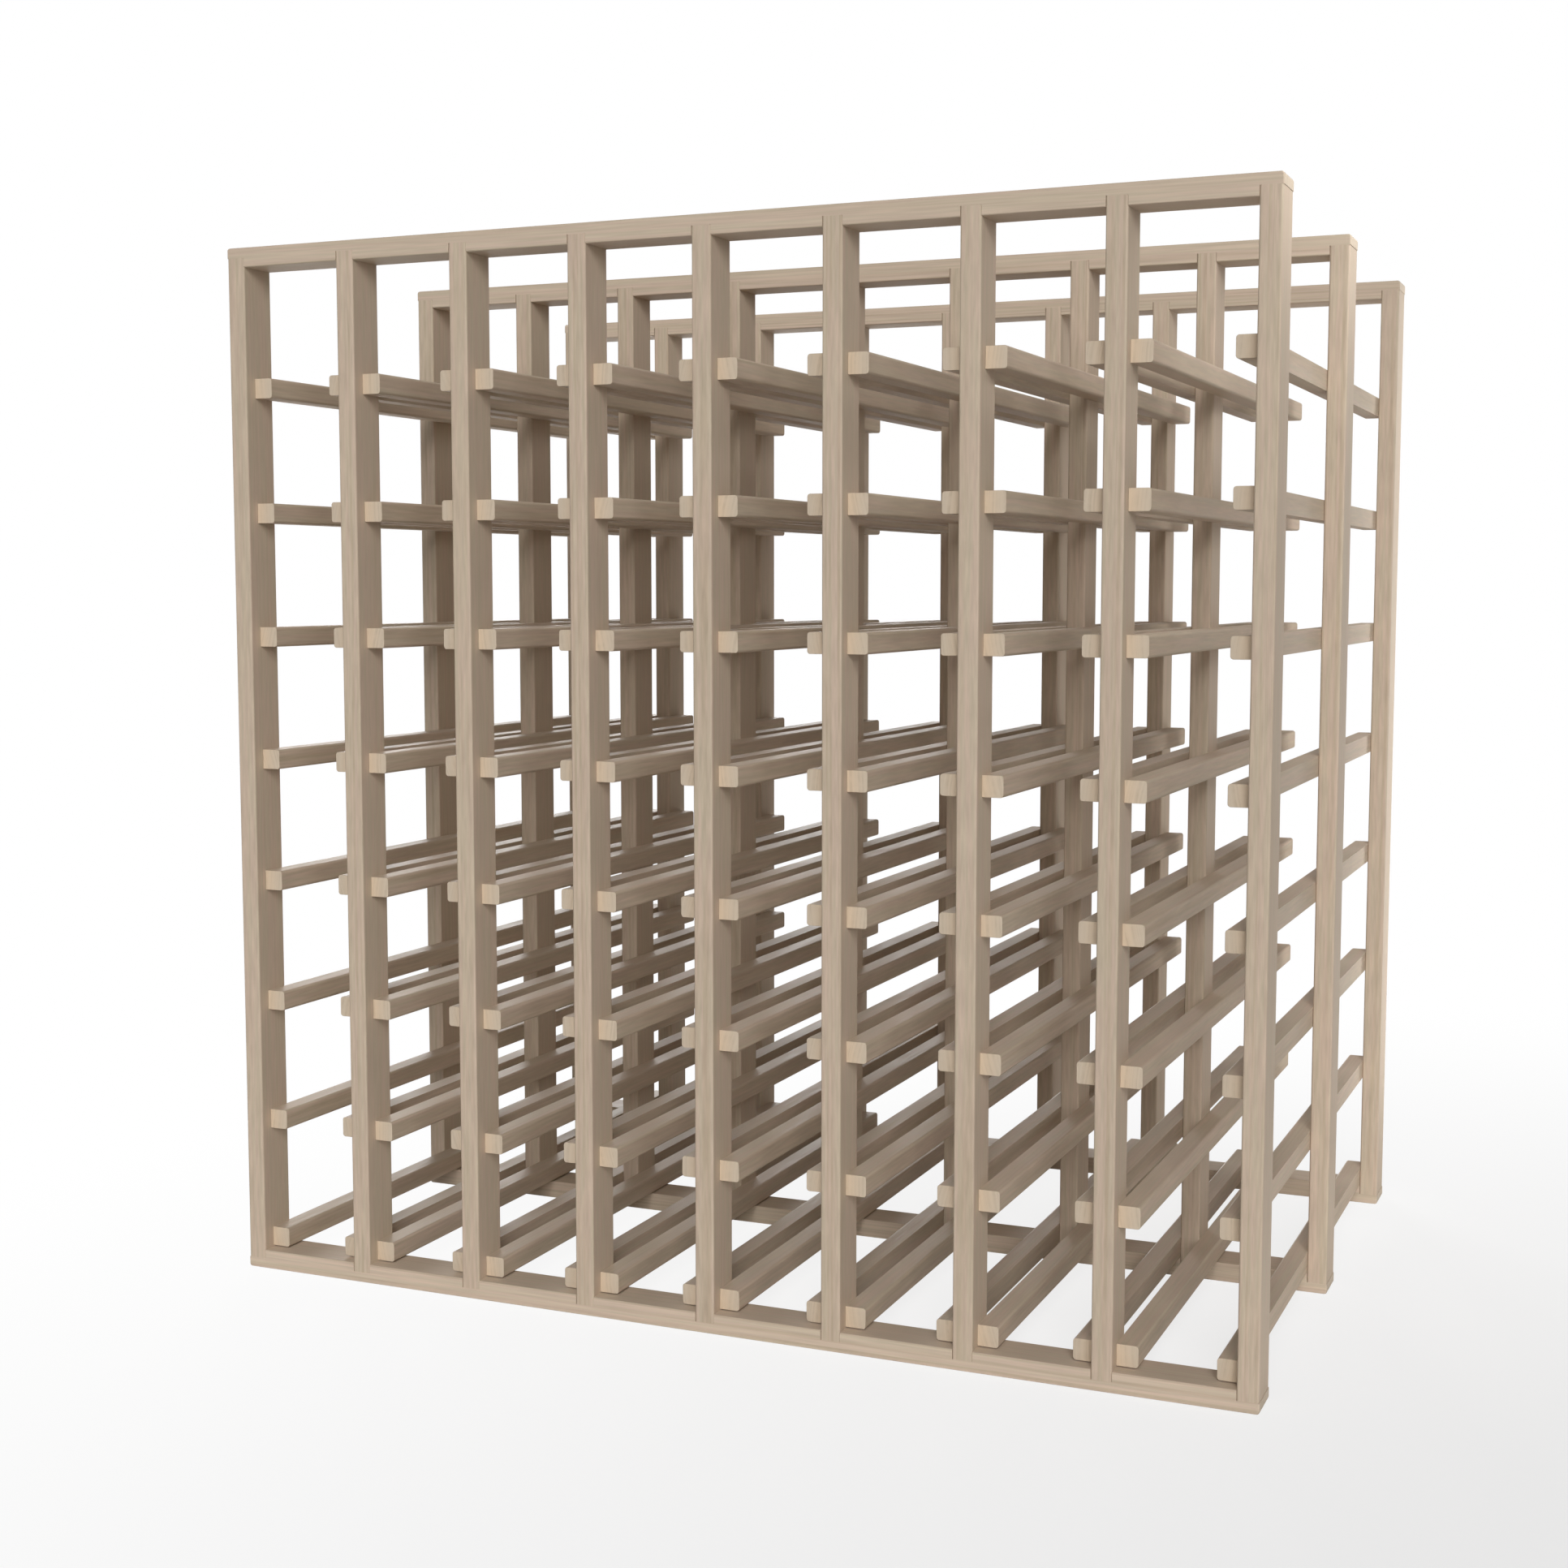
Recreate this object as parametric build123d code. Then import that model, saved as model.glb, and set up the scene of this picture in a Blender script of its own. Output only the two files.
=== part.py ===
from build123d import *
import os

# Wooden wine rack, eight cells wide, eight cells high and two bays deep.
# Three lattice frames of uprights and rails stand one behind the other.
# Square bearers run through all three on the flanks of the uprights, two in each cell.
# Millimetres, +Z up, the front faces -Y, the origin is on the floor under the rack's middle.

# Layout of the cells and frames
columns = 8
rows = 8
column_pitch = 112.7
row_pitch = 109.5
frame_spacing = 304.8
overall_height = 914.4

# Frame stock, with its narrow side to the front and its long arrises eased
stock_width = 17.0
stock_depth = 38.0
stock_arris = 1.0

# Rails: the uprights are let into housings, and the ends stand a little proud of the last uprights
housing_depth = 8.0
rail_overhang = 0.5
rail_corner = 2.4
lip_corner = 0.4

# Loose tenon hidden in each joint of an upright and a rail
tenon_thickness = 6.0
tenon_width = 20.0
tenon_in_rail = 5.0
tenon_in_upright = 15.0

# Bearers, with the two arrises on the cell's side rounded in a few flats
bearer_size = 17.5
bearer_arris = 2.4
bearer_arris_flats = 4
bearer_setback = 12.5
lowest_bearer_clearance = 1.0

# Worked out from the driving dimensions
uprights = columns + 1
housing_floor = stock_width - housing_depth
upright_length = overall_height - 2 * housing_floor
rail_length = columns * column_pitch + stock_width + 2 * rail_overhang
bearer_length = 2 * frame_spacing + stock_depth - 2 * bearer_setback
lowest_bearer_z = stock_width + lowest_bearer_clearance
frame_places = {"front": -frame_spacing, "middle": 0.0, "rear": frame_spacing}
upright_places = [(index - columns / 2) * column_pitch for index in range(uprights)]


def stock_section():
    # Cross-section of the frame stock, width along X and depth along Y
    blank = Rectangle(stock_width, stock_depth)
    return chamfer(blank.vertices(), stock_arris)


def rail_outline():
    # Front view of a bottom rail standing on z = 0, with its housings open upwards
    outline = Rectangle(rail_length, stock_width, align=(Align.CENTER, Align.MIN))
    outline = fillet(outline.vertices().group_by(Axis.Y)[0], rail_corner)
    housing = Rectangle(stock_width, housing_depth, align=(Align.CENTER, Align.MAX))
    for x in upright_places:
        outline -= Pos(x, stock_width) * housing
    # The two end housings run out through the ends of the rail
    for x in (-rail_length / 2, rail_length / 2):
        outline -= Pos(x, stock_width) * housing
    lip_corners = outline.vertices().filter_by(
        lambda corner: abs(abs(corner.X) - rail_length / 2) < 0.01 and corner.Y > rail_corner + 0.01
    )
    return fillet(lip_corners, lip_corner)


def tenon_block(length):
    # Block of the tenon's section, standing on z = 0
    return Box(tenon_thickness, tenon_width, length, align=(Align.CENTER, Align.CENTER, Align.MIN))


def make_rail():
    # Bottom rail on z = 0: the eased section along X, cut to the front outline, with a mortise in each housing
    bar = extrude(Plane.YZ * Rot(0, 0, 90) * stock_section(), amount=rail_length / 2, both=True)
    bar = Pos(0, 0, stock_width / 2) * bar
    rail = bar & extrude(Plane.XZ * rail_outline(), amount=stock_depth, both=True)
    mortise = tenon_block(tenon_in_rail)
    for x in upright_places:
        rail -= Pos(x, 0, housing_floor - tenon_in_rail) * mortise
    return rail


def make_upright():
    # Upright between the two housing floors, with a mortise in each end
    upright = Pos(0, 0, housing_floor) * extrude(stock_section(), amount=upright_length)
    mortise = tenon_block(tenon_in_upright)
    upright -= Pos(0, 0, housing_floor) * mortise
    upright -= Pos(0, 0, overall_height - housing_floor - tenon_in_upright) * mortise
    return upright


def make_bearer():
    # Bearer with its glued face on x = 0 and its underside on z = 0, rounded on the cell's side
    near = bearer_arris
    far = bearer_size - bearer_arris
    spoke = Vector(bearer_arris, 0)
    turns = [90 * step / bearer_arris_flats for step in range(bearer_arris_flats + 1)]
    lower_arris = [Vector(far, near) + spoke.rotate(Axis.Z, turn - 90) for turn in turns]
    upper_arris = [Vector(far, far) + spoke.rotate(Axis.Z, turn) for turn in turns]
    section = make_face(Polyline((0, 0), *lower_arris, *upper_arris, (0, bearer_size), close=True))
    return extrude(Plane.XZ * section, amount=bearer_length / 2, both=True)


def to_top(solid):
    # A bottom rail's piece, turned over end for end to its place at the top of the frame
    return Pos(0, 0, overall_height) * Rot(180, 0, 0) * solid


def write_node(name, *solids):
    node = solids[0] if len(solids) == 1 else Compound(children=list(solids))
    node.label = name
    export_step(node, f"parts/{name}.step")


def write_frames():
    # Each frame: a bottom rail, a top rail, its uprights and the tenons that hold them
    rail = make_rail()
    upright = make_upright()
    tenon = Pos(0, 0, housing_floor - tenon_in_rail) * tenon_block(tenon_in_rail + tenon_in_upright)
    tenon_row = [Pos(x, 0, 0) * tenon for x in upright_places]
    for frame, y in frame_places.items():
        place = Pos(0, y, 0)
        write_node(f"{frame}_bottom_rail", place * rail)
        write_node(f"{frame}_top_rail", place * to_top(rail))
        write_node(f"{frame}_bottom_tenons", *[place * piece for piece in tenon_row])
        write_node(f"{frame}_top_tenons", *[place * to_top(piece) for piece in tenon_row])
        for number, x in enumerate(upright_places, start=1):
            write_node(f"{frame}_upright_{number}", place * Pos(x, 0, 0) * upright)


def write_bearers():
    # Each column: a stack of bearers on the upright to its left and one on the upright to its right
    left_bearer = make_bearer()
    right_bearer = mirror(left_bearer, about=Plane.YZ)
    heights = [lowest_bearer_z + row * row_pitch for row in range(rows)]
    for column in range(columns):
        left_flank = upright_places[column] + stock_width / 2
        right_flank = upright_places[column + 1] - stock_width / 2
        left_stack = [Pos(left_flank, 0, z) * left_bearer for z in heights]
        right_stack = [Pos(right_flank, 0, z) * right_bearer for z in heights]
        write_node(f"column_{column + 1}_left_bearers", *left_stack)
        write_node(f"column_{column + 1}_right_bearers", *right_stack)


os.makedirs("parts", exist_ok=True)
write_frames()
write_bearers()
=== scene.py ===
import math

import bmesh
import bpy
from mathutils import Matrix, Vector


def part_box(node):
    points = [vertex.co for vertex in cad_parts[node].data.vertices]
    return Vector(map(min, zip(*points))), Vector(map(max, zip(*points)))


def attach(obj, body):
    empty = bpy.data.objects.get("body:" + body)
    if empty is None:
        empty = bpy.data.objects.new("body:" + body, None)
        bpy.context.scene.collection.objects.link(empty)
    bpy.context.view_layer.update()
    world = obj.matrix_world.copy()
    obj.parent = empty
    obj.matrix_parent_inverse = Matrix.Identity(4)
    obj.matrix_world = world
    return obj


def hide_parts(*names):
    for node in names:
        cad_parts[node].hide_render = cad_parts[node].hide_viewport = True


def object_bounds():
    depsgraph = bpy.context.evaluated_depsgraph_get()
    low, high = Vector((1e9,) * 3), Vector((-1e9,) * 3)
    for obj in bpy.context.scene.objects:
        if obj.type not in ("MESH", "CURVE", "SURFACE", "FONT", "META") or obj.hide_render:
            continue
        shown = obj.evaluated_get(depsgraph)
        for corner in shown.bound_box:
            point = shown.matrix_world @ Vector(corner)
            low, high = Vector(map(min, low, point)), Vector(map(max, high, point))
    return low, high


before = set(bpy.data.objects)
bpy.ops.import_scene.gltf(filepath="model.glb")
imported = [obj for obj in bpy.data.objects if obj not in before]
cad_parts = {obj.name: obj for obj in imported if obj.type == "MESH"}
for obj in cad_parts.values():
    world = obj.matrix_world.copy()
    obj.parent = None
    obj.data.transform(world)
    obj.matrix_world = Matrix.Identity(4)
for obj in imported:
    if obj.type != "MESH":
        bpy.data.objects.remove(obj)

cadLow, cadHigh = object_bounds()
print("frame loaded:", len(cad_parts), "nodes")

# layout of the rack, with its distances read from the frame
layout = {
    "frames": ["front", "middle", "rear"],
    "levels": ["bottom", "top"],
    "uprights": 9,
    "columns": 8,
    "rows": 8,
    "wholeStick": 4.0,  # metres, longer than any stick
}
uprightLow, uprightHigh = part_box("front_upright_1")
stackLow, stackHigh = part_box("column_1_left_bearers")
railLow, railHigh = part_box("front_bottom_rail")
layout["columnPitch"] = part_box("front_upright_2")[0].x - uprightLow.x
layout["frameSpacing"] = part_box("middle_upright_1")[0].y - uprightLow.y
layout["railSpacing"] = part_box("front_top_rail")[0].z - railLow.z
layout["uprightHalf"] = (uprightHigh.x - uprightLow.x) / 2
layout["railMiddle"] = (railHigh.z + railLow.z) / 2
layout["bearerSize"] = stackHigh.x - stackLow.x
layout["bearerMiddle"] = stackLow.z + layout["bearerSize"] / 2
layout["rowPitch"] = (stackHigh.z - stackLow.z - layout["bearerSize"]) / (layout["rows"] - 1)


def tone(red, green, blue):
    # a colour as a paint program shows it, 0 to 255, as the linear values that nodes use
    def linear(value):
        value = value / 255
        return value / 12.92 if value <= 0.04045 else ((value + 0.055) / 1.055) ** 2.4  # sRGB curve
    return (linear(red), linear(green), linear(blue), 1.0)


def feed(tree, socket, source):
    # join a socket to another one, or give it a plain value
    if isinstance(source, bpy.types.NodeSocket):
        tree.links.new(source, socket)
    else:
        socket.default_value = source


def addNode(tree, kind, feeds=None, **settings):
    node = tree.nodes.new(kind)
    for name, value in settings.items():
        setattr(node, name, value)
    for name, source in (feeds or {}).items():
        feed(tree, node.inputs[name], source)
    return node


def calc(tree, operation, first, second=0.0, third=0.0, clamp=False):
    numbers = {0: first, 1: second, 2: third}
    return addNode(tree, "ShaderNodeMath", numbers, operation=operation, use_clamp=clamp).outputs[0]


def vectorCalc(tree, operation, first, second=(0, 0, 0)):
    node = addNode(tree, "ShaderNodeVectorMath", {0: first, 1: second}, operation=operation)
    return node.outputs["Value"] if operation in ("DOT_PRODUCT", "LENGTH") else node.outputs["Vector"]


def mixTone(tree, amount, first, second):
    # sockets 0, 6, 7 and output 2 are the mix node's own for colours
    sockets = {0: amount, 6: first, 7: second}
    return addNode(tree, "ShaderNodeMix", sockets, data_type="RGBA", clamp_factor=True).outputs[2]


def spread(tree, source, low, high, toLow=0.0, toHigh=1.0):
    # a value between low and high, eased over to another span
    node = addNode(tree, "ShaderNodeMapRange", {
        "Value": source, "From Min": low, "From Max": high, "To Min": toLow, "To Max": toHigh,
    }, interpolation_type="SMOOTHSTEP")
    return node.outputs[0]


def newGroup(name, inputs, outputs):
    # node group with its sockets, each input given as (socket kind, starting value)
    group = bpy.data.node_groups.new(name, "ShaderNodeTree")
    for label, (kind, value) in inputs.items():
        socket = group.interface.new_socket(
            name=label, in_out="INPUT", socket_type="NodeSocket" + kind,
        )
        socket.default_value = value
    for label, kind in outputs.items():
        group.interface.new_socket(name=label, in_out="OUTPUT", socket_type="NodeSocket" + kind)
    return group, group.nodes.new("NodeGroupInput").outputs, group.nodes.new("NodeGroupOutput").inputs


def useGroup(tree, group, feeds):
    return addNode(tree, "ShaderNodeGroup", feeds, node_tree=group).outputs


def clearTree(owner):
    # the empty node tree of a material or a world
    owner.use_nodes = True
    owner.node_tree.nodes.clear()
    return owner.node_tree


# noise that draws the wood: cycles a metre across, across and along the fibres, then octaves
grain = {
    "bend": ((7.0, 7.0, 0.9), 1.0),  # slow lean of the growth rings
    "ripple": ((60.0, 60.0, 6.0), 2.0),  # small waves on them
    "patch": ((150.0, 150.0, 14.0), 1.0),  # where the rings are strong and where they are faint
    "fibre": ((400.0, 400.0, 40.0), 2.0),
    "pore": ((1300.0, 1300.0, 34.0), 1.0),
    "blush": ((240.0, 240.0, 10.0), 2.0),  # straw to rose
    "cloud": ((16.0, 16.0, 3.5), 2.0),
    "roughness": 0.5,
    "bendReach": 0.014, "rippleReach": 0.0012,  # metres that the rings move
    "logReach": (7.0, 5.0, 11.0), "ringReach": 90.0,  # metres and rings over which sticks are cut
    "ringOctaves": 2.0, "ringRoughness": 0.6,
    "ringSpan": (0.36, 0.74),  # noise of the palest early wood and of the darkest late wood
    "patchSpan": (0.3, 0.7), "patchLeast": 0.35,  # the rings keep this share where they are faintest
    "poreSpan": (0.64, 0.76), "blushSpan": (0.36, 0.64),
    "cloudShade": 0.05, "fibreShade": 0.52,
    "poreHeight": -0.6, "ringHeight": 0.4,  # beside a fibre's height of 1
}


def streaks(tree, position, kind):
    cycles, octaves = grain[kind]
    drawn = vectorCalc(tree, "MULTIPLY", position, cycles)
    return addNode(tree, "ShaderNodeTexNoise", {
        "Vector": drawn, "Scale": 1.0, "Detail": octaves, "Roughness": grain["roughness"],
    }).outputs["Fac"]


def makeStickPlace():
    # the stick that a point lies in: its random colour, and the point seen from its cell's middle
    group, given, result = newGroup(
        "stickPlace",
        {
            "Position": ("Vector", (0, 0, 0)),
            "Cell Size": ("Vector", (1, 1, 1)),
            "Cell Middle": ("Vector", (0, 0, 0)),
        },
        {"Seed": "Color", "Local": "Vector"},
    )
    shifted = vectorCalc(group, "SUBTRACT", given["Position"], given["Cell Middle"])
    counted = vectorCalc(group, "DIVIDE", shifted, given["Cell Size"])
    cell = vectorCalc(group, "FLOOR", vectorCalc(group, "ADD", counted, (0.5, 0.5, 0.5)))
    inside = vectorCalc(group, "SUBTRACT", counted, cell)
    local = vectorCalc(group, "MULTIPLY", inside, given["Cell Size"])
    dice = addNode(group, "ShaderNodeTexWhiteNoise", {"Vector": cell}, noise_dimensions="3D")
    feed(group, result["Seed"], dice.outputs["Color"])
    feed(group, result["Local"], local)
    return group


def makeTimberGrain():
    # growth rings round a pith outside the stick, fibres along Z, pores and slow changes of tone
    group, given, result = newGroup(
        "timberGrain",
        {
            "Position": ("Vector", (0, 0, 0)),
            "Seed": ("Color", (0.5, 0.5, 0.5, 1)),
            "Pith Distance": ("Float", 0.07),
            "Pith Spread": ("Float", 6.28),
            "Ring Pitch": ("Float", 0.0026),
            "Ring Strength": ("Float", 0.5),
            "Fibre Strength": ("Float", 0.5),
            "Pore Strength": ("Float", 0.2),
            "Piece Difference": ("Float", 0.06),
            "Straw Tone": ("Color", tone(193, 178, 153)),
            "Rose Tone": ("Color", tone(193, 175, 156)),
            "Late Tone": ("Color", tone(176, 158, 135)),
            "Pore Tone": ("Color", tone(156, 138, 115)),
        },
        {"Color": "Color", "Rings": "Float", "Fibre": "Float", "Height": "Float"},
    )
    seed = addNode(group, "ShaderNodeSeparateXYZ", {0: given["Seed"]}).outputs
    # every stick is cut from another place in the log
    far = vectorCalc(group, "MULTIPLY", given["Seed"], grain["logReach"])
    place = vectorCalc(group, "ADD", given["Position"], far)

    # distance from the pith, bent slowly along the stick
    turn = calc(group, "MULTIPLY", calc(group, "SUBTRACT", seed["X"], 0.5), given["Pith Spread"])
    reach = calc(group, "MULTIPLY", given["Pith Distance"], calc(group, "ADD", seed["Y"], 0.5))
    pith = addNode(group, "ShaderNodeCombineXYZ", {
        "X": calc(group, "MULTIPLY", reach, calc(group, "COSINE", turn)),
        "Y": calc(group, "MULTIPLY", reach, calc(group, "SINE", turn)),
    }).outputs[0]
    flat = vectorCalc(group, "MULTIPLY", given["Position"], (1.0, 1.0, 0.0))
    distance = vectorCalc(group, "LENGTH", vectorCalc(group, "SUBTRACT", flat, pith))
    for kind in ("bend", "ripple"):
        sway = calc(group, "SUBTRACT", streaks(group, place, kind), 0.5)
        distance = calc(group, "MULTIPLY_ADD", sway, grain[kind + "Reach"], distance)
    firstYear = calc(group, "MULTIPLY", seed["Z"], grain["ringReach"])
    years = calc(group, "ADD", calc(group, "DIVIDE", distance, given["Ring Pitch"]), firstYear)
    rings = addNode(group, "ShaderNodeTexNoise", noise_dimensions="1D", feeds={
        "W": years, "Scale": 1.0, "Detail": grain["ringOctaves"], "Roughness": grain["ringRoughness"],
    }).outputs["Fac"]
    patch = streaks(group, place, "patch")
    strong = spread(group, patch, *grain["patchSpan"], grain["patchLeast"], 1.0)
    lateWood = calc(group, "MULTIPLY", spread(group, rings, *grain["ringSpan"]), strong)

    fibre = streaks(group, place, "fibre")
    pore = spread(group, streaks(group, place, "pore"), *grain["poreSpan"])
    blush = spread(group, streaks(group, place, "blush"), *grain["blushSpan"])

    colour = mixTone(group, blush, given["Straw Tone"], given["Rose Tone"])
    ringShare = calc(group, "MULTIPLY", lateWood, given["Ring Strength"])
    colour = mixTone(group, ringShare, colour, given["Late Tone"])
    poreShare = calc(group, "MULTIPLY", pore, given["Pore Strength"])
    colour = mixTone(group, poreShare, colour, given["Pore Tone"])
    stick = calc(group, "SUBTRACT", seed["Z"], 0.5)
    light = calc(group, "MULTIPLY_ADD", stick, given["Piece Difference"], 1.0)
    cloud = calc(group, "SUBTRACT", streaks(group, place, "cloud"), 0.5)
    light = calc(group, "MULTIPLY_ADD", cloud, grain["cloudShade"], light)
    thread = calc(group, "MULTIPLY", calc(group, "SUBTRACT", fibre, 0.5), given["Fibre Strength"])
    light = calc(group, "MULTIPLY_ADD", thread, grain["fibreShade"], light)
    shaded = addNode(group, "ShaderNodeVectorMath", {0: colour, "Scale": light}, operation="SCALE")

    height = calc(group, "MULTIPLY_ADD", pore, grain["poreHeight"], fibre)
    height = calc(group, "MULTIPLY_ADD", lateWood, grain["ringHeight"], height)
    feed(group, result["Color"], shaded.outputs["Vector"])
    feed(group, result["Rings"], lateWood)
    feed(group, result["Fibre"], fibre)
    feed(group, result["Height"], height)
    return group


# cosines of the surface's lean: from flat to turned on an arris, and from turned to square on a face
facing = {"arrisSpan": (0.98, 0.75), "faceSpan": (0.75, 0.95)}


def makeEasedArris():
    # where the surface turns between two faces, on the rounded arrises
    group, given, result = newGroup("easedArris", {"Strength": ("Float", 1.0)}, {"Mask": "Float"})
    normal = addNode(group, "ShaderNodeNewGeometry").outputs["Normal"]
    lean = addNode(group, "ShaderNodeSeparateXYZ", {0: vectorCalc(group, "ABSOLUTE", normal)}).outputs
    most = calc(group, "MAXIMUM", calc(group, "MAXIMUM", lean["X"], lean["Y"]), lean["Z"])
    turned = spread(group, most, *facing["arrisSpan"])
    feed(group, result["Mask"], calc(group, "MULTIPLY", turned, given["Strength"], clamp=True))
    return group


def makeFaceAcross():
    # the faces that lie square across an axis
    group, given, result = newGroup("faceAcross", {"Axis": ("Vector", (0, 0, 1))}, {"Mask": "Float"})
    normal = addNode(group, "ShaderNodeNewGeometry").outputs["Normal"]
    square = calc(group, "ABSOLUTE", vectorCalc(group, "DOT_PRODUCT", normal, given["Axis"]))
    feed(group, result["Mask"], spread(group, square, *facing["faceSpan"]))
    return group


stickPlace = makeStickPlace()
timberGrain = makeTimberGrain()
easedArris = makeEasedArris()
faceAcross = makeFaceAcross()
print("shared wood effects ready")

columnPitch = layout["columnPitch"]
frameSpacing = layout["frameSpacing"]
rowPitch = layout["rowPitch"]
wholeStick = layout["wholeStick"]

# bare sanded wood, with the grain upwards; a cell is the room round one stick
uprightWood = {
    "slot": "upright_wood",
    "grainAxis": (0, 0, 1),
    "grainTurn": (0, 0, 0),
    "grainStretch": (1, 1, 1),  # a smaller number along the grain makes longer streaks
    "cellSize": (columnPitch, frameSpacing, wholeStick),
    "cellMiddle": (0, 0, 0),
    "pithDistance": 0.06, "pithSpread": 6.28,  # metres, and radians round the stick
    "ringPitch": 0.0026, "ringStrength": 0.6,
    "fibreStrength": 0.8, "poreStrength": 0.12, "pieceDifference": 0.04,
    "calmAxis": (1, 0, 0), "calmShare": 0.5,  # the faces across this axis show less of the grain
    "straw": tone(191, 176, 155), "rose": tone(195, 175, 157),
    "late": tone(176, 158, 135), "pore": tone(156, 138, 115),
    "arris": tone(200, 185, 163), "arrisStrength": 0.1, "arrisRoughness": -0.1,
    # the second end tone is painted bounce light on the sawn ends, warmer and lighter towards the
    # upright; for uprights and rails it equals the plain end tone
    "end": tone(190, 171, 146), "endWarm": tone(190, 171, 146), "endStrength": 0.6, "endRings": 0.4,
    "endWarmSpan": (0.002, 0.02),  # metres from the cell's middle
    "endFibre": 0.1,  # share of the fibres and pores that shows on the ends
    "roughness": (0.58, 0.72), "roughSpan": (0.25, 0.75),
    "refraction": 1.45, "specular": 0.14,
    "bumpDepth": 0.00008, "bumpStrength": 0.5,
}

railWood = {
    **uprightWood,
    "slot": "rail_wood",
    "grainAxis": (1, 0, 0),
    "grainTurn": (0, math.pi / 2, 0),
    "grainStretch": (0.4, 1.4, 1.4),
    "cellSize": (wholeStick, frameSpacing, layout["railSpacing"]),
    "cellMiddle": (0, 0, layout["railMiddle"]),
    "ringPitch": 0.0036,
    "calmAxis": (0, 0, 1),
    "straw": tone(197, 182, 161), "rose": tone(201, 181, 163),
    "end": tone(206, 191, 171), "endWarm": tone(206, 191, 171), "endStrength": 0.8,
}

# the pith of a bearer lies to its side, so the rings stand upright on its ends
bearerWood = {
    **uprightWood,
    "slot": "bearer_wood",
    "grainAxis": (0, 1, 0),
    "grainTurn": (math.pi / 2, 0, 0),
    "grainStretch": (1, 0.6, 1),
    "cellSize": (columnPitch / 2, wholeStick, rowPitch),
    "cellMiddle": (columnPitch / 4, 0, layout["bearerMiddle"]),
    "pithDistance": 0.14, "pithSpread": 0.6,
    "calmAxis": (0, 0, 1),
    # painted bounce light: the bearers' sawn ends turn warmer and lighter towards the upright beside
    # them
    "end": tone(203, 188, 168), "endWarm": tone(213, 192, 166), "endStrength": 0.85,
}

tenonWood = {
    **uprightWood,
    "slot": "tenon_wood",
    "straw": tone(204, 180, 142), "rose": tone(200, 175, 142),
}


def makeWood(name, wood):
    material = bpy.data.materials.new(name)
    tree = clearTree(material)
    position = addNode(tree, "ShaderNodeTexCoord").outputs["Object"]
    stick = useGroup(tree, stickPlace, {
        "Position": position, "Cell Size": wood["cellSize"], "Cell Middle": wood["cellMiddle"],
    })
    along = addNode(tree, "ShaderNodeMapping", {
        "Vector": stick["Local"], "Rotation": wood["grainTurn"], "Scale": wood["grainStretch"],
    }).outputs[0]
    endMask = useGroup(tree, faceAcross, {"Axis": wood["grainAxis"]})["Mask"]
    calmMask = useGroup(tree, faceAcross, {"Axis": wood["calmAxis"]})["Mask"]
    arrisMask = useGroup(tree, easedArris, {"Strength": wood["arrisStrength"]})["Mask"]
    drawn = calc(tree, "MULTIPLY_ADD", calmMask, wood["calmShare"] - 1.0, 1.0)
    endFade = calc(tree, "MULTIPLY_ADD", endMask, wood["endFibre"] - 1.0, 1.0)
    lengthwise = calc(tree, "MULTIPLY", endFade, drawn)
    timber = useGroup(tree, timberGrain, {
        "Position": along, "Seed": stick["Seed"],
        "Pith Distance": wood["pithDistance"], "Pith Spread": wood["pithSpread"],
        "Ring Pitch": wood["ringPitch"],
        "Ring Strength": calc(tree, "MULTIPLY", drawn, wood["ringStrength"]),
        "Fibre Strength": calc(tree, "MULTIPLY", lengthwise, wood["fibreStrength"]),
        "Pore Strength": calc(tree, "MULTIPLY", lengthwise, wood["poreStrength"]),
        "Piece Difference": wood["pieceDifference"],
        "Straw Tone": wood["straw"], "Rose Tone": wood["rose"],
        "Late Tone": wood["late"], "Pore Tone": wood["pore"],
    })
    # painted bounce light on the ends, growing with distance from the cell's middle towards the
    # upright
    across = addNode(tree, "ShaderNodeSeparateXYZ", {0: stick["Local"]}).outputs["X"]
    paintedBounce = spread(tree, calc(tree, "ABSOLUTE", across), *wood["endWarmSpan"])
    endTone = mixTone(tree, paintedBounce, wood["end"], wood["endWarm"])
    endRings = calc(tree, "MULTIPLY", timber["Rings"], wood["endRings"])
    endTone = mixTone(tree, endRings, endTone, wood["late"])
    endShare = calc(tree, "MULTIPLY", endMask, wood["endStrength"])
    colour = mixTone(tree, endShare, timber["Color"], endTone)
    colour = mixTone(tree, arrisMask, colour, wood["arris"])
    rough = spread(tree, timber["Fibre"], *wood["roughSpan"], *wood["roughness"])
    rough = calc(tree, "MULTIPLY_ADD", arrisMask, wood["arrisRoughness"], rough)
    bump = addNode(tree, "ShaderNodeBump", {
        "Height": timber["Height"], "Strength": wood["bumpStrength"], "Distance": wood["bumpDepth"],
    })
    shader = addNode(tree, "ShaderNodeBsdfPrincipled", {
        "Base Color": colour, "Roughness": rough, "Normal": bump.outputs[0],
        "IOR": wood["refraction"], "Specular IOR Level": wood["specular"],
    })
    addNode(tree, "ShaderNodeOutputMaterial", {"Surface": shader.outputs[0]})
    return material


uprightFinish = makeWood("uprightWood", uprightWood)
railFinish = makeWood("railWood", railWood)
bearerFinish = makeWood("bearerWood", bearerWood)
tenonFinish = makeWood("tenonWood", tenonWood)
print("four woods ready")

modelling = {"tolerance": 1e-5, "smoothAngle": 46}  # metres and degrees


def pieceName(node):
    first, *rest = node.split("_")
    return first + "".join(word.capitalize() for word in rest)


def addBlock(name, low, high):
    # cube primitive at a box's size and place, with its place in its mesh
    bpy.ops.object.select_all(action="DESELECT")
    bpy.ops.mesh.primitive_cube_add(size=1, location=(low + high) / 2)
    block = bpy.context.object
    block.name = name
    block.scale = high - low
    bpy.ops.object.transform_apply(location=True, rotation=True, scale=True)
    return block


def near(first, second):
    return abs(first - second) < modelling["tolerance"]


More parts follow.
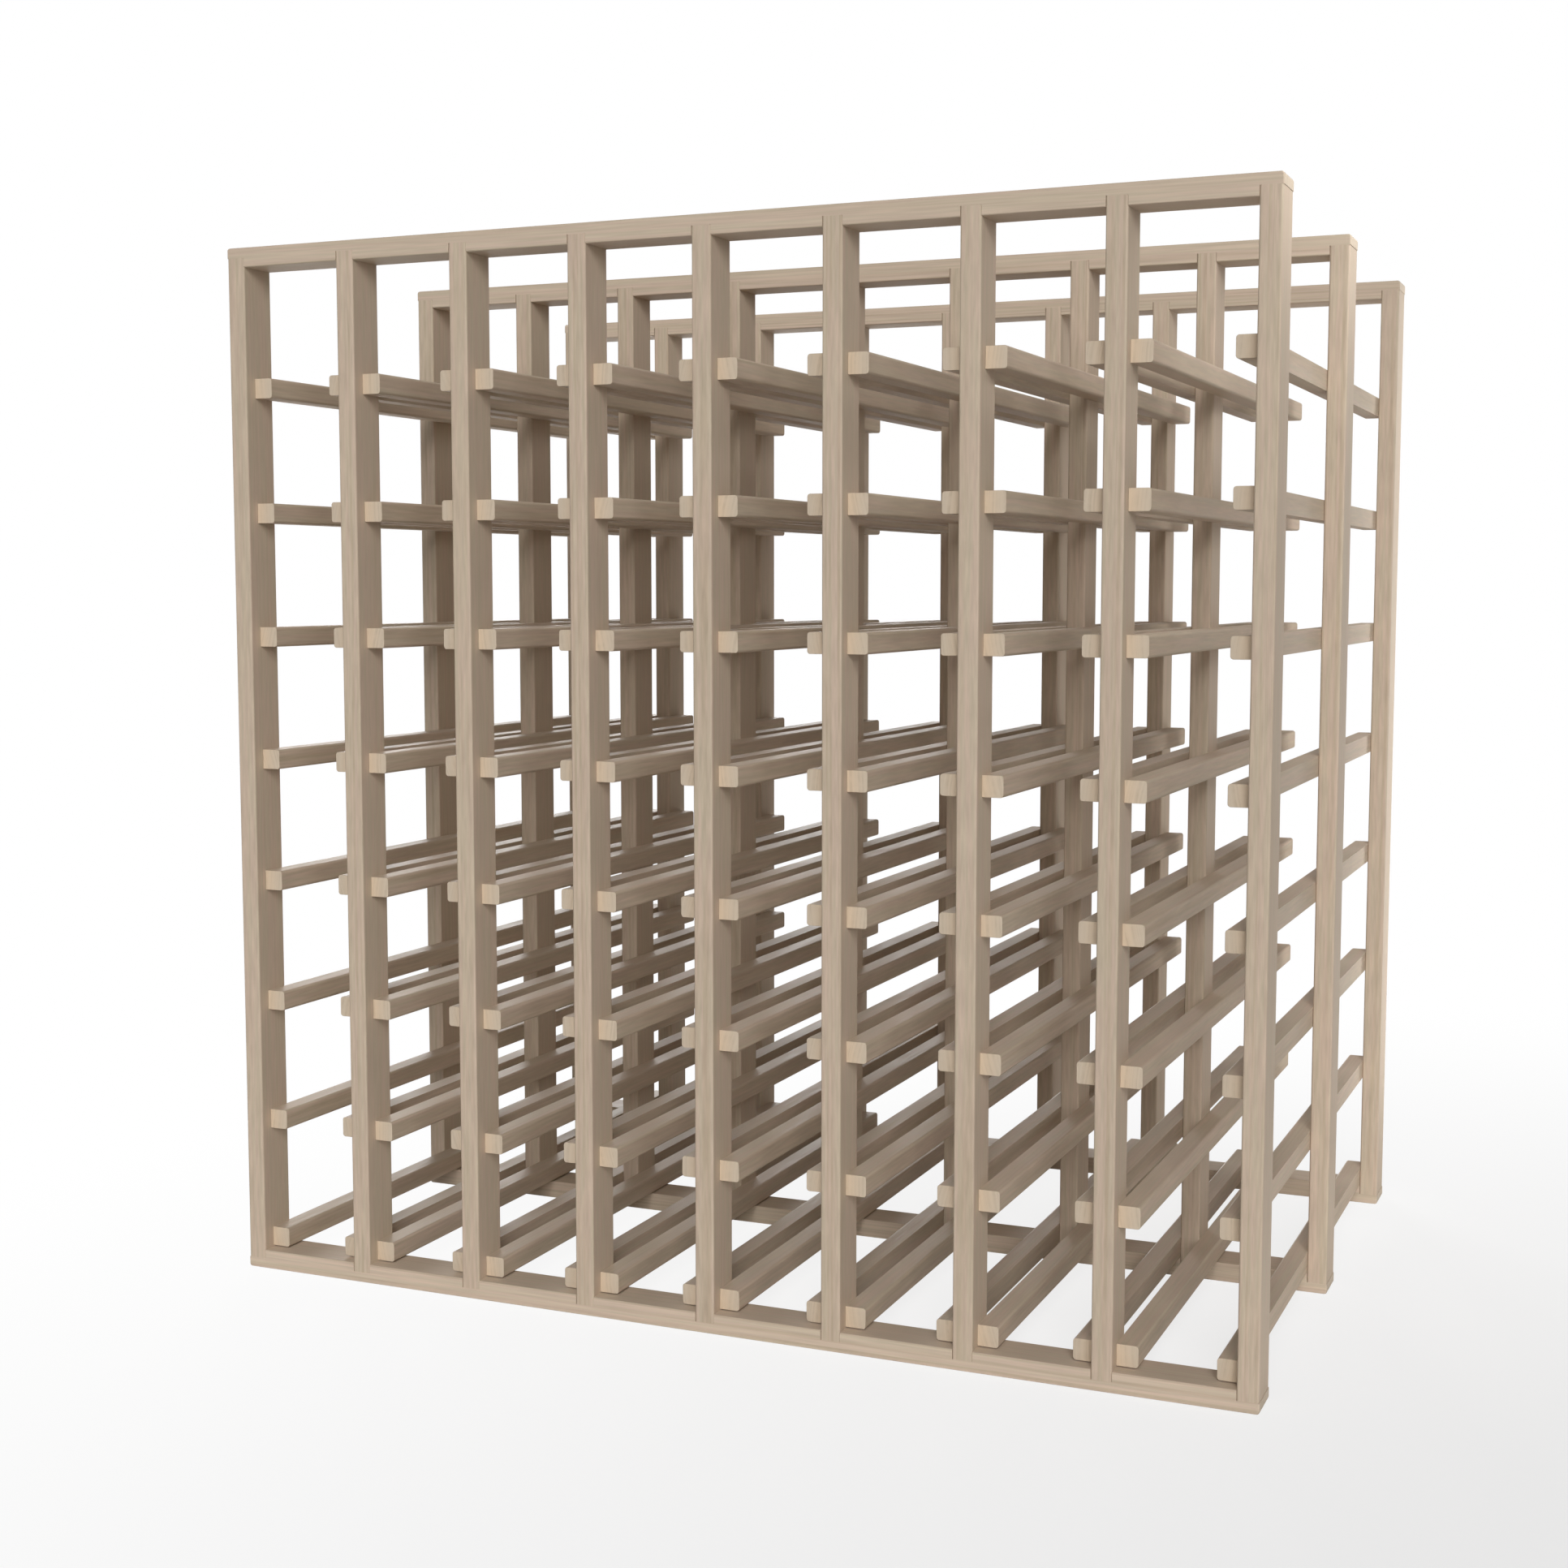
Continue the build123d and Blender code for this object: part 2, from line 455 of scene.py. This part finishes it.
def roundEdges(piece, wanted, radius, steps):
    # bevel the edges whose two ends pass the test
    bpy.ops.object.mode_set(mode="EDIT")
    bpy.ops.mesh.select_mode(type="EDGE")
    bpy.ops.mesh.select_all(action="DESELECT")
    mesh = bmesh.from_edit_mesh(piece.data)
    for edge in mesh.edges:
        edge.select_set(wanted(edge.verts[0].co, edge.verts[1].co))
    bmesh.update_edit_mesh(piece.data)
    bpy.ops.mesh.bevel(offset=radius, segments=steps, affect="EDGES")
    bpy.ops.object.mode_set(mode="OBJECT")


def evenShading(piece):
    # smooth over the rounded arrises, flat on the wide faces
    bpy.ops.object.select_all(action="DESELECT")
    piece.select_set(True)
    bpy.context.view_layer.objects.active = piece
    bpy.ops.object.shade_smooth_by_angle(angle=math.radians(modelling["smoothAngle"]))
    even = piece.modifiers.new("even", "WEIGHTED_NORMAL")
    even.keep_sharp = True
    bpy.ops.object.modifier_apply(modifier=even.name)


def copyPiece(piece, name, shift, turnedOver=False):
    # another of the same piece with its own mesh; turned over, its top is below and its back in front
    bpy.ops.object.select_all(action="DESELECT")
    piece.select_set(True)
    bpy.context.view_layer.objects.active = piece
    bpy.ops.object.duplicate(linked=False)
    copy = bpy.context.object
    copy.name = name
    copy.location = shift
    copy.rotation_euler.x = math.pi if turnedOver else 0.0
    bpy.ops.object.transform_apply(location=True, rotation=True, scale=True)
    return copy


def fitPiece(piece, node, finish):
    # the piece stands for its node, rides with it and takes its slot's finish
    piece.data.materials.clear()
    piece.data.materials.append(finish)
    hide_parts(node)
    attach(piece, "root")


upright = {"arrisRadius": 0.0017, "arrisSteps": 3}


def modelUpright(node):
    piece = addBlock(pieceName(node), *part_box(node))

    def isLong(a, b):
        return not near(a.z, b.z)

    roundEdges(piece, isLong, upright["arrisRadius"], upright["arrisSteps"])
    evenShading(piece)
    return piece


firstUpright = modelUpright("front_upright_1")
uprightPieces = {}
for frameName in layout["frames"]:
    for number in range(1, layout["uprights"] + 1):
        node = f"{frameName}_upright_{number}"
        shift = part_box(node)[0] - uprightLow
        if node == "front_upright_1":
            uprightPieces[node] = firstUpright
        else:
            uprightPieces[node] = copyPiece(firstUpright, pieceName(node), shift)
for node, piece in uprightPieces.items():
    fitPiece(piece, node, uprightFinish)
print("uprights:", len(uprightPieces))

rail = {
    "housingDepth": 0.008,
    "cornerRadius": 0.0024, "cornerSteps": 4,
    "arrisRadius": 0.0012, "arrisSteps": 3,
    "lipRadius": 0.00045, "lipSteps": 3,
}


def modelRail(node):
    # bottom rail: its front outline is cut from a plane and drawn back to the rail's depth
    low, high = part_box(node)
    floorZ = high.z - rail["housingDepth"]
    half = layout["uprightHalf"]
    places = [(number - layout["columns"] / 2) * columnPitch for number in range(layout["uprights"])]
    bpy.ops.object.select_all(action="DESELECT")
    faceMiddle = (0, low.y, (low.z + high.z) / 2)
    bpy.ops.mesh.primitive_plane_add(size=1, location=faceMiddle, rotation=(math.pi / 2, 0, 0))
    piece = bpy.context.object
    piece.name = pieceName(node)
    piece.scale = (high.x - low.x, high.z - low.z, 1)
    bpy.ops.object.transform_apply(location=True, rotation=True, scale=True)

    # lines at the housings' floors and walls; the two end housings run out through the rail's ends
    bpy.ops.object.mode_set(mode="EDIT")
    bpy.ops.mesh.select_all(action="SELECT")
    bpy.ops.mesh.bisect(plane_co=(0, 0, floorZ), plane_no=(0, 0, 1))
    walls = [x + side * half for x in places for side in (-1, 1)][1:-1]
    for x in walls:
        bpy.ops.mesh.select_all(action="SELECT")
        bpy.ops.mesh.bisect(plane_co=(x, 0, 0), plane_no=(1, 0, 0))
    bpy.ops.mesh.select_mode(type="FACE")
    bpy.ops.mesh.select_all(action="DESELECT")
    mesh = bmesh.from_edit_mesh(piece.data)
    for face in mesh.faces:
        middle = face.calc_center_median()
        housed = any(abs(middle.x - x) < half for x in places)
        face.select_set(middle.z > floorZ and housed)
    bmesh.update_edit_mesh(piece.data)
    bpy.ops.mesh.delete(type="FACE")
    bpy.ops.mesh.select_all(action="SELECT")
    bpy.ops.mesh.extrude_region_move(TRANSFORM_OT_translate={"value": (0, high.y - low.y, 0)})
    bpy.ops.mesh.select_all(action="SELECT")
    bpy.ops.mesh.normals_make_consistent(inside=False)
    bpy.ops.object.mode_set(mode="OBJECT")

    def atEnd(a, b):
        return near(a.x, b.x) and near(abs(a.x), high.x)

    def isCorner(a, b):
        return atEnd(a, b) and near(a.z, low.z) and near(b.z, low.z)

    def isArris(a, b):
        onFace = near(a.y, b.y)
        along = near(a.z, b.z) and (near(a.z, low.z) or near(a.z, high.z))
        outside = min(abs(a.x), abs(b.x)) > high.x - rail["cornerRadius"] - modelling["tolerance"]
        below = min(a.z, b.z) < floorZ - modelling["tolerance"]
        return onFace and (along or (outside and below))

    def isLip(a, b):
        return atEnd(a, b) and near(a.z, floorZ) and near(b.z, floorZ)

    roundEdges(piece, isCorner, rail["cornerRadius"], rail["cornerSteps"])
    roundEdges(piece, isArris, rail["arrisRadius"], rail["arrisSteps"])
    roundEdges(piece, isLip, rail["lipRadius"], rail["lipSteps"])
    evenShading(piece)
    return piece


firstRail = modelRail("front_bottom_rail")
railPieces = {}
for frameName in layout["frames"]:
    for level in layout["levels"]:
        node = f"{frameName}_{level}_rail"
        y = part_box(node)[0].y - railLow.y
        if level == "top":
            shift = Vector((0, y + railLow.y + railHigh.y, cadHigh.z))
            railPieces[node] = copyPiece(firstRail, pieceName(node), shift, turnedOver=True)
        elif frameName == "front":
            railPieces[node] = firstRail
        else:
            railPieces[node] = copyPiece(firstRail, pieceName(node), Vector((0, y, 0)))
for node, piece in railPieces.items():
    fitPiece(piece, node, railFinish)
print("rails:", len(railPieces))

bearer = {"arrisRadius": 0.0024, "arrisSteps": 4, "endEase": 0.0003, "endSteps": 1}


def modelBearers(node, cellSide):
    # one bearer, rounded towards its cell, repeated up its stack
    low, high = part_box(node)
    size = layout["bearerSize"]
    piece = addBlock(pieceName(node), low, Vector((high.x, high.y, low.z + size)))
    openX = high.x if cellSide > 0 else low.x

    def isOpen(a, b):
        return near(a.x, openX) and near(b.x, openX) and not near(a.y, b.y)

    def isEnd(a, b):
        return near(a.y, b.y)

    roundEdges(piece, isOpen, bearer["arrisRadius"], bearer["arrisSteps"])
    roundEdges(piece, isEnd, bearer["endEase"], bearer["endSteps"])
    stack = piece.modifiers.new("stack", "ARRAY")
    stack.count = layout["rows"]
    stack.use_relative_offset = False
    stack.use_constant_offset = True
    stack.constant_offset_displace = (0, 0, rowPitch)
    bpy.ops.object.modifier_apply(modifier=stack.name)
    evenShading(piece)
    return piece


bearerPieces = {}
for side, cellSide in (("left", 1), ("right", -1)):  # a left bearer has its cell towards +X
    firstNode = f"column_1_{side}_bearers"
    firstStack = modelBearers(firstNode, cellSide)
    bearerPieces[firstNode] = firstStack
    for number in range(2, layout["columns"] + 1):
        node = f"column_{number}_{side}_bearers"
        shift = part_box(node)[0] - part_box(firstNode)[0]
        bearerPieces[node] = copyPiece(firstStack, pieceName(node), shift)
for node, piece in bearerPieces.items():
    fitPiece(piece, node, bearerFinish)
print("bearer stacks:", len(bearerPieces))

# the tenons keep the frame's own shapes, out of sight in the joints, and take their wood
for node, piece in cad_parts.items():
    if node.endswith("_tenons"):
        for index in range(len(piece.material_slots)):
            piece.material_slots[index].material = tenonFinish

stage = {
    "floorSize": 40.0,
    "floorDrop": 0.0002,
    "floorTone": tone(246, 246, 246), "floorRoughness": 0.9, "floorSpecular": 0.1,
    # middle of a painted shade on the floor: the white is thinnest here, so more of the really lit
    # floor shows
    "dimPlace": (1.2, -0.6, 0.0),  # where the floor looks least white
    "whiteNear": 0.6,  # share of white there
    "whiteSpan": (0.0, 2.2),  # metres from there over which it becomes all white
    "white": (1, 1, 1, 1), "whiteLight": 1.0,
    "worldLight": 0.09,
}


def directRays(tree):
    # 1 for what is seen straight on, mirrored or through something clear, 0 for falling light
    seen = addNode(tree, "ShaderNodeLightPath").outputs
    direct = calc(tree, "MAXIMUM", seen["Is Camera Ray"], seen["Is Glossy Ray"])
    return calc(tree, "MAXIMUM", direct, seen["Is Transmission Ray"])


def makeFloor():
    bpy.ops.object.select_all(action="DESELECT")
    bpy.ops.mesh.primitive_plane_add(size=stage["floorSize"], location=(0, 0, -stage["floorDrop"]))
    floor = bpy.context.object
    floor.name = "floor"
    material = bpy.data.materials.new("paleFloor")
    tree = clearTree(material)
    place = addNode(tree, "ShaderNodeTexCoord").outputs["Object"]
    # painted shade: the white share thins towards that place, so the floor is greyer at the front
    # right
    away = vectorCalc(tree, "LENGTH", vectorCalc(tree, "SUBTRACT", place, stage["dimPlace"]))
    fade = spread(tree, away, *stage["whiteSpan"], stage["whiteNear"], 1.0)
    matt = addNode(tree, "ShaderNodeBsdfPrincipled", {
        "Base Color": stage["floorTone"], "Roughness": stage["floorRoughness"],
        "Specular IOR Level": stage["floorSpecular"],
    })
    white = addNode(tree, "ShaderNodeEmission", {
        "Color": stage["white"], "Strength": stage["whiteLight"],
    })
    both = addNode(tree, "ShaderNodeMixShader", {
        0: calc(tree, "MULTIPLY", fade, directRays(tree)), 1: matt.outputs[0], 2: white.outputs[0],
    })
    addNode(tree, "ShaderNodeOutputMaterial", {"Surface": both.outputs[0]})
    floor.data.materials.append(material)


def makeWorld():
    world = bpy.data.worlds.new("studio")
    bpy.context.scene.world = world
    tree = clearTree(world)
    soft = addNode(tree, "ShaderNodeBackground", {
        "Color": stage["white"], "Strength": stage["worldLight"],
    })
    white = addNode(tree, "ShaderNodeBackground", {
        "Color": stage["white"], "Strength": stage["whiteLight"],
    })
    both = addNode(tree, "ShaderNodeMixShader", {
        0: directRays(tree), 1: soft.outputs[0], 2: white.outputs[0],
    })
    addNode(tree, "ShaderNodeOutputWorld", {"Surface": both.outputs[0]})


# suns stand for far softboxes and give only their direction; area lamps have a width and a height
lamps = {
    "mainLight": {
        "kind": "SUN", "place": (3.0, -8.4, 4.6), "aim": (0, 0, 0),
        "power": 2.08, "softness": 30,
    },
    "rightLight": {
        "kind": "SUN", "place": (7.6, -6.4, 1.0), "aim": (0, 0, 0),
        "power": 0.53, "softness": 30,
    },
    "backSoftbox": {
        "kind": "AREA", "place": (-3.5, 6.0, 1.2), "aim": (0, 0, 0.4),
        "power": 330, "size": (3.0, 1.6), "spread": 180,
    },
    "rearStrip": {  # beside the right rear upright
        "kind": "AREA", "place": (0.56, 0.42, 0.52), "aim": (0.46, 0.32, 0.52),
        "power": 0.35, "size": (0.06, 0.88), "spread": 100,
    },
    "topCorner": {  # beside the right ends of the top rails
        "kind": "AREA", "place": (0.56, -0.14, 0.97), "aim": (0.46, -0.14, 0.87),
        "power": 0.19, "size": (0.46, 0.06), "spread": 100,
    },
    "sideGlow": {  # light that the floor throws up on the right side
        "kind": "AREA", "place": (0.62, -0.05, 0.001), "aim": (0.62, -0.05, 1.0),
        "power": 0.32, "size": (0.28, 0.9), "spread": 180,
    },
}


def makeLamp(name, lamp):
    bpy.ops.object.select_all(action="DESELECT")
    bpy.ops.object.light_add(type=lamp["kind"], location=lamp["place"])
    light = bpy.context.object
    light.name = name
    light.data.energy = lamp["power"]
    if lamp["kind"] == "SUN":
        light.data.angle = math.radians(lamp["softness"])
    else:
        light.data.shape = "RECTANGLE"
        light.data.size, light.data.size_y = lamp["size"]
        light.data.spread = math.radians(lamp["spread"])
    toward = Vector(lamp["aim"]) - Vector(lamp["place"])
    light.rotation_euler = toward.to_track_quat("-Z", "Y").to_euler()
    light.visible_camera = False


camera = {
    "place": (0.7558, -1.9196, 0.6194),
    "tilt": -0.09058, "turn": 0.4048,  # radians from level, and from looking straight at the front
    "lens": 50.0, "sensor": 36.0,
}


def makeCamera():
    turned = (math.pi / 2 + camera["tilt"], 0, camera["turn"])
    bpy.ops.object.camera_add(location=camera["place"], rotation=turned)
    view = bpy.context.object
    view.data.lens = camera["lens"]
    view.data.sensor_width = camera["sensor"]
    bpy.context.scene.camera = view


makeFloor()
makeWorld()
for name, lamp in lamps.items():
    makeLamp(name, lamp)
makeCamera()
bpy.context.scene.view_settings.view_transform = "Standard"
print("stage ready")
